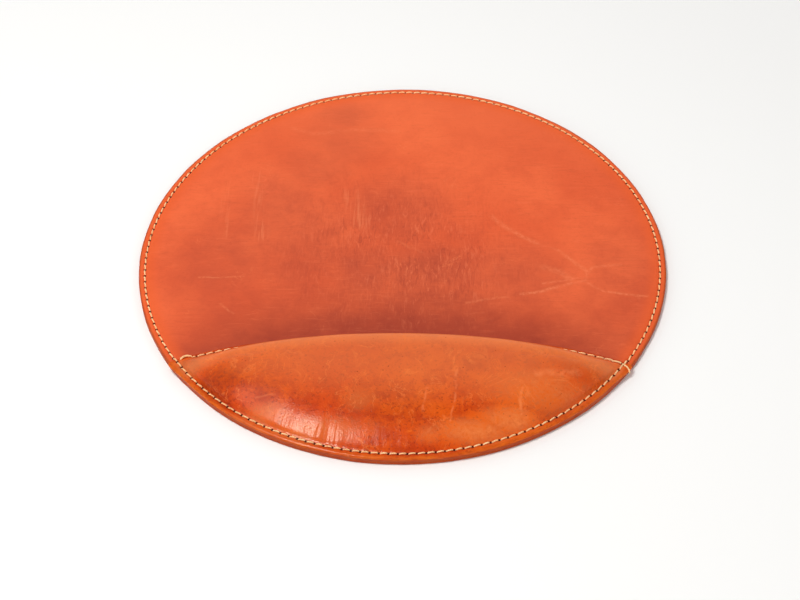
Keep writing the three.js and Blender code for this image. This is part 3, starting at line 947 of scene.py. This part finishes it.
# Rim seam: a waxed cream thread, sewn by machine at four millimetres a stitch. Each stitch lies a little
# slantwise in the seam's trough and dives into a needle hole at both ends, where the lower thread holds it.
thread_radius = 0.34 * mm
thread_sides = 8
stitch_samples = np.array([0.0, 0.05, 0.11, 0.19, 0.34, 0.5, 0.66, 0.81, 0.89, 0.95])


def stitch_path(share, stitches, line, height, rise, plunge, slant):
    """Places along a row of stitches. With e = |2t - 1| from the middle of a stitch to its holes, the thread
    stands at height + rise - (rise + plunge) exp(-((1 - e) / 0.3)^2) and to the side by
    slant (1 - 2t)(1 - e^8)."""
    t = share * stitches % 1.0
    end = np.abs(2 * t - 1)
    dive = np.exp(-(((1 - end) / 0.3) ** 2))
    place, across = line(share)
    lift = height(share) + rise - (rise + plunge) * dive
    aside = slant * (1 - 2 * t) * (1 - end ** 8)
    return np.column_stack([place + across * aside[:, None], lift]), dive


def thread_piece(name, path, dive, closed):
    """A tube about a path: circles square to it, of the thread's radius, drawn in to 0.45 of it in each hole.
    Its yarn map holds the length along the thread, in metres, and the share of the way round it."""
    ahead = np.roll(path, -1, 0) - np.roll(path, 1, 0) if closed else np.gradient(path, axis=0)
    ahead = ahead / np.linalg.norm(ahead, axis=1, keepdims=True)
    side = np.stack([-ahead[:, 1], ahead[:, 0], 0 * ahead[:, 0]], 1)
    side = side / np.linalg.norm(side, axis=1, keepdims=True)
    up = np.cross(ahead, side)
    turn = 2 * np.pi * np.arange(thread_sides)[None, :, None] / thread_sides
    radius = (thread_radius * (1 - 0.55 * dive))[:, None, None]
    rings = path[:, None] + radius * (np.cos(turn) * side[:, None] + np.sin(turn) * up[:, None])
    rows = len(path)
    faces = grid_faces(rows, thread_sides, rows_close=closed, columns_close=True)
    walk = np.concatenate([[0], np.cumsum(np.linalg.norm(np.diff(path, axis=0), axis=1))])
    row, side_of = np.divmod(faces, thread_sides)
    closing = (side_of == 0) & (side_of.max(1, keepdims=True) > 1)
    share = np.where(closing, thread_sides, side_of) / thread_sides
    yarn = np.stack([walk[row], share], -1)
    first = np.arange(thread_sides)
    caps = [] if closed else [first.tolist(), (first + (rows - 1) * thread_sides)[::-1].tolist()]
    piece = mesh_piece(name, rings.reshape(-1, 3), faces, caps, yarn)
    depth = np.repeat(dive, thread_sides)
    piece.data.attributes.new("dive", "FLOAT", "POINT").data.foreach_set("value", depth)
    return piece


def seam_shares(stitches, closed):
    """The share of a seam's length at each sample of each stitch."""
    share = ((np.arange(stitches)[:, None] + stitch_samples) / stitches).ravel()
    return share if closed else np.append(share, 1.0 - 1e-9)


def rim_line(share):
    """The rim seam's place and its outward direction, from the middle of the front anticlockwise."""
    angle = 2 * np.pi * share - np.pi / 2
    out = np.stack([np.cos(angle), np.sin(angle)], 1)
    return out * rim_seam_radius, out


def at_height(height):
    """A height that stays the same all along a seam."""
    return lambda share: height + 0 * share


cover_step = (100.3 * mm, -69.45 * mm)
cover_step_share = math.atan2(cover_step[0], -cover_step[1]) / (2 * math.pi)


def rim_height(share):
    """The leather under the rim seam, which climbs on to the cover over the last stitch before it."""
    stitch = np.minimum(share, 1 - share) * rim_stitches
    return top_face + cover_thickness * np.clip((cover_step_share * rim_stitches + 0.46 - stitch) * 2, 0, 1)


cream = Finish("waxed_cream_thread")
place, _, py, _ = places(cream)
map_place = cream.node("ShaderNodeUVMap", {"uv_map": "yarn"})
length = cream.node("ShaderNodeSeparateXYZ", None, {0: map_place}, 0)
share_round = cream.node("ShaderNodeSeparateXYZ", None, {0: map_place}, 1)
dive_depth = cream.node("ShaderNodeAttribute", {"attribute_name": "dive"}, output="Fac")
ply = abs(cream.maths("SINE", (length / (2.4 * mm) + share_round) * (3 * math.pi)))
fuzz = noise(cream, place, 0.4 * mm, 3.0, 0.6)
tone = noise(cream, place, 9 * mm, 2.0)
yarn = cream.mix(tone.step(0.3, 0.7), colour(255, 196, 134), colour(255, 218, 164))
# Painted shade in the grooves between the plies.
yarn = cream.mix(ply.step(0.5, 0.0) * 0.7, yarn, colour(206, 124, 62))
yarn = cream.mix(fuzz.step(0.5, 0.8) * 0.3, yarn, colour(214, 142, 78))
# Painted shade on the thread where it dives into the needle holes, weaker towards the far side.
thread_hole_shade = dive_depth.step(0.25, 0.6) * (py.step(120 * mm, 50 * mm) * 0.5 + 0.5)
yarn = cream.mix(thread_hole_shade, yarn, colour(98, 20, 2))
cream.principled(
    Base_Color=yarn,
    Roughness=0.75,
    Specular_IOR_Level=0.15,
    Normal=cream.bump(ply * 0.8 + fuzz * 0.2, 0.12 * mm),
)
share = seam_shares(rim_stitches, True)


def sewn_piece(piece, node):
    """Gives a thread its finish, hangs it under the root body and hides the CAD part it stands for."""
    cream.paint(piece)
    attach(piece, "root")
    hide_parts(node)


path, dive = stitch_path(
    share, rim_stitches, rim_line, rim_height, rise=0.1 * mm, plunge=0.85 * mm, slant=0.26 * mm
)
sewn_piece(thread_piece("rim_upper_thread", path, dive, True), "rim_needle_thread")
path, dive = stitch_path(
    share, rim_stitches, rim_line, at_height(0.4 * mm), rise=0.0, plunge=-0.6 * mm, slant=0.2 * mm
)
sewn_piece(thread_piece("rim_lower_thread", path, dive, True), "rim_bobbin_thread")


# Rear seam of the rest: the same thread, from corner to corner. It starts with a slack stitch on the left,
# and on the right its end is drawn over the rim seam and down over the edge.
def rest_seam_line(share):
    """The rear seam's place and its rearward direction, from the left corner to the right one."""
    walk = share * rest_walk[-1]
    place = np.stack([np.interp(walk, rest_walk, rest_line[:, k]) for k in range(2)], 1)
    ahead = np.gradient(rest_line, axis=0)
    ahead = np.stack([np.interp(walk, rest_walk, ahead[:, k]) for k in range(2)], 1)
    ahead = ahead / np.linalg.norm(ahead, axis=1, keepdims=True)
    return place, np.stack([-ahead[:, 1], ahead[:, 0]], 1)


slack_stitches = 1.6
loose_stitches = 2.5
stitch_rise = 0.14 * mm
stitch_plunge = 0.8 * mm
share = seam_shares(rest_stitches, False)
path, dive = stitch_path(
    share, rest_stitches, rest_seam_line, at_height(cover_face), stitch_rise, stitch_plunge, slant=-0.14 * mm
)
t = share * rest_stitches
slack = np.sin(np.pi * np.clip(t / slack_stitches, 0, 1) ** 0.75) ** 0.7
slack_end = np.exp(-((np.minimum(t, np.abs(slack_stitches - t)) / 0.13) ** 2))
slack_lift = cover_face + stitch_rise + 0.35 * mm * slack - (stitch_rise + stitch_plunge) * slack_end
path[:, 1] += 1.4 * mm * slack
path[:, 2] = np.where(t < slack_stitches, slack_lift, path[:, 2])
dive = np.where(t < slack_stitches, slack_end - 0.8 * slack, dive)
loose = np.clip(t - rest_stitches + loose_stitches, 0, 1)
path[:, 2] += (0.12 + 0.6 * dive) * mm * loose
dive = dive * (1 - 0.8 * loose) - 0.25 * loose
tail = np.array([
    (98.4, -70.9, 4.4), (98.8, -71.3, 4.6), (99.3, -71.8, 4.72), (99.9, -72.5, 4.74), (100.5, -73.2, 4.7),
    (101.0, -73.9, 4.5), (101.4, -74.5, 4.1), (101.55, -74.9, 3.5), (101.5, -75.1, 2.9),
]) * mm
turn = np.linspace(0, len(tail) - 1, 31)
tail = spline_weights(turn, len(tail)) @ tail
path = np.concatenate([path[:-1], tail])
dive = np.concatenate([dive[:-1], np.clip(1 - turn / 1.2, 0, 1)])
sewn_piece(thread_piece("rest_upper_thread", path, dive, False), "rest_needle_thread")
path, dive = stitch_path(
    share, rest_stitches, rest_seam_line, at_height(1.9 * mm), rise=0.0, plunge=-0.3 * mm, slant=0.1 * mm
)
sewn_piece(thread_piece("rest_lower_thread", path, dive, False), "rest_bobbin_thread")
